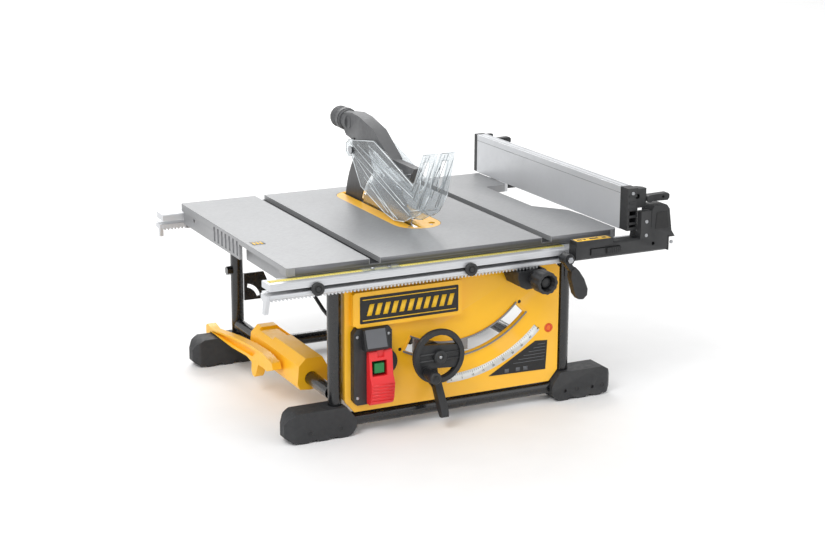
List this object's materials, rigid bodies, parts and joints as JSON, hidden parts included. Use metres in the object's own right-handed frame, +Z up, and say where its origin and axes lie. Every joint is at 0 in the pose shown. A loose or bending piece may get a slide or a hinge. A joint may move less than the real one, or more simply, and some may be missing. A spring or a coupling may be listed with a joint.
{
  "type": "table saw",
  "caption": "Jobsite table saw on a tube stand with rack and pinion fence rails, tilting lifting blade carriage, riving knife, clear split guard and rip fence.",
  "frame": {"origin": "on the floor plane, at the centre of the saw's footprint rectangle", "axes": "+X to the operator's right along the rails, +Y towards the outfeed side, +Z up"},
  "size_m": [0.818, 0.667, 0.5065],
  "materials": {
    "black": "textured black plastic",
    "blade": "ground steel",
    "clear": "clear polycarbonate",
    "cord": "black rubber cord",
    "foot": "dark grey moulded foot",
    "green": "green plastic",
    "knife": "dark oxide steel",
    "rail": "drawn satin aluminium",
    "red": "red plastic",
    "steel": "turned steel",
    "table": "satin ground cast aluminium",
    "tube": "gloss black paint on steel tube",
    "yellow": "moulded yellow plastic"
  },
  "bodies": {
    "root": {"table_casting": "table", "throat_plate": "yellow", "scale_cursor": "clear", "front_frame": "tube", "rear_frame": "tube", "left_side_tube": "tube", "right_side_tube": "tube", "foot_front_left": "foot", "foot_front_right": "foot", "foot_rear_left": "foot", "foot_rear_right": "foot", "front_panel": "yellow", "switch_housing": "black", "storage_bracket": "yellow", "push_stick": "yellow", "rear_storage_plate": "tube", "power_cord": "cord", "rail_bearing_left": "black", "rail_bearing_middle": "black", "rear_rail_bearing": "black", "pinion_housing_front": "black", "pinion_housing_rear": "black"},
    "fence_rails": {"front_rail": "rail", "rear_rail": "rail", "front_rail_carrier": "black", "rear_rail_carrier": "black", "fence_profile": "rail", "fence_front_bracket": "black", "fence_rear_cap": "black"},
    "front_latch": {"front_fence_latch": "black"},
    "rear_latch": {"rear_fence_latch": "black"},
    "rail_pinion": {"pinion_shaft": "steel", "fence_adjust_knob": "black"},
    "rail_lock": {"rail_lock_lever": "black", "rail_lock_shaft": "steel"},
    "tilt": {"tilt_frame": "table", "guide_rod_front": "steel", "guide_rod_rear": "steel", "bevel_pointer": "red"},
    "bevel_lock": {"bevel_lock_lever": "black"},
    "wheel": {"handwheel": "black"},
    "crank": {"crank_knob": "black"},
    "screw": {"lift_screw": "steel"},
    "carriage": {"lift_carriage": "table", "motor_housing": "black", "blade_shroud": "black", "riving_knife": "knife", "guard_arm": "black", "right_shield_pin": "steel"},
    "arbor": {"saw_blade": "blade", "arbor_shaft": "steel", "arbor_nut": "steel"},
    "armature": {"motor_armature": "steel"},
    "left_pin": {"left_shield_pin": "steel", "left_shield_bush": "black"},
    "left_guard": {"left_shield": "clear"},
    "right_guard": {"right_shield": "clear"},
    "paddle": {"stop_paddle": "red"},
    "button": {"start_button": "green"}
  },
  "joints": [
    {"name": "rail_slide", "type": "slide", "parent": "root", "child": "fence_rails", "axis": [1, 0, 0], "range_m": [0, 0.476]},
    {"name": "rail_pinion_turn", "type": "hinge", "parent": "root", "child": "rail_pinion", "pos_m": [0.11, 0.0215, 0.2676], "axis": [0, 1, 0], "range_deg": [0, 1750]},
    {"name": "rail_lock", "type": "hinge", "parent": "root", "child": "rail_lock", "pos_m": [0.172, -0.2935, 0.2975], "axis": [0, -1, 0], "range_deg": [0, 30]},
    {"name": "front_fence_latch", "type": "hinge", "parent": "fence_rails", "child": "front_latch", "pos_m": [0.351, -0.2825, 0.391], "axis": [0, -1, 0], "range_deg": [0, 80]},
    {"name": "rear_fence_latch", "type": "hinge", "parent": "fence_rails", "child": "rear_latch", "pos_m": [0.351, 0.3195, 0.391], "axis": [0, -1, 0], "range_deg": [0, 80]},
    {"name": "bevel_tilt", "type": "hinge", "parent": "root", "child": "tilt", "pos_m": [-0.028, 0.0215, 0.331], "axis": [0, -1, 0], "range_deg": [0, 45]},
    {"name": "bevel_lock", "type": "hinge", "parent": "tilt", "child": "bevel_lock", "pos_m": [-0.079, -0.2405, 0.1407], "axis": [0, -1, 0], "range_deg": [0, 50]},
    {"name": "handwheel_turn", "type": "hinge", "parent": "tilt", "child": "wheel", "pos_m": [-0.079, -0.2735, 0.1407], "axis": [0, 1, 0], "range_deg": [-4630, 0]},
    {"name": "crank_knob_spin", "type": "hinge", "parent": "wheel", "child": "crank", "pos_m": [-0.106, -0.2985, 0.1147], "axis": [0, 1, 0], "continuous": true},
    {"name": "lift_screw_turn", "type": "hinge", "parent": "tilt", "child": "screw", "pos_m": [-0.079, -0.1465, 0.225], "axis": [0, 0, 1], "range_deg": [-4630, 0]},
    {"name": "blade_lift", "type": "slide", "parent": "tilt", "child": "carriage", "axis": [0, 0, 1], "range_m": [-0.077, 0]},
    {"name": "blade_spin", "type": "hinge", "parent": "carriage", "child": "arbor", "pos_m": [-0.028, 0.0465, 0.283], "axis": [1, 0, 0], "continuous": true},
    {"name": "armature_spin", "type": "hinge", "parent": "carriage", "child": "armature", "pos_m": [-0.128, 0.0565, 0.24427], "axis": [1, 0, 0], "continuous": true},
    {"name": "left_shield_bevel_ride", "type": "slide", "parent": "carriage", "child": "left_pin", "axis": [0, 0, 1], "range_m": [0, 0.019]},
    {"name": "left_shield_lift", "type": "hinge", "parent": "left_pin", "child": "left_guard", "pos_m": [-0.045, 0.1695, 0.434], "axis": [-1, 0, 0], "range_deg": [0, 41]},
    {"name": "right_shield_lift", "type": "hinge", "parent": "carriage", "child": "right_guard", "pos_m": [-0.011, 0.1695, 0.434], "axis": [-1, 0, 0], "range_deg": [0, 41]},
    {"name": "stop_paddle_swing", "type": "hinge", "parent": "root", "child": "paddle", "pos_m": [-0.184, -0.2475, 0.154], "axis": [-1, 0, 0], "range_deg": [0, 60]},
    {"name": "start_button_press", "type": "slide", "parent": "root", "child": "button", "axis": [0, 1, 0], "range_m": [0, 0.003]}
  ],
  "couplings": [
    {"joint": "rail_pinion_turn", "follows": "rail_slide", "rad_per_m": 64.114},
    {"joint": "handwheel_turn", "follows": "blade_lift", "rad_per_m": 1047.2},
    {"joint": "lift_screw_turn", "follows": "blade_lift", "rad_per_m": 1047.2},
    {"joint": "left_shield_lift", "follows": "blade_lift", "rad_per_m": -9.0802},
    {"joint": "right_shield_lift", "follows": "blade_lift", "rad_per_m": -9.0802},
    {"joint": "left_shield_bevel_ride", "follows": "bevel_tilt", "m_per_rad": 0.022664},
    {"joint": "armature_spin", "follows": "blade_spin", "ratio": -1.6}
  ]
}
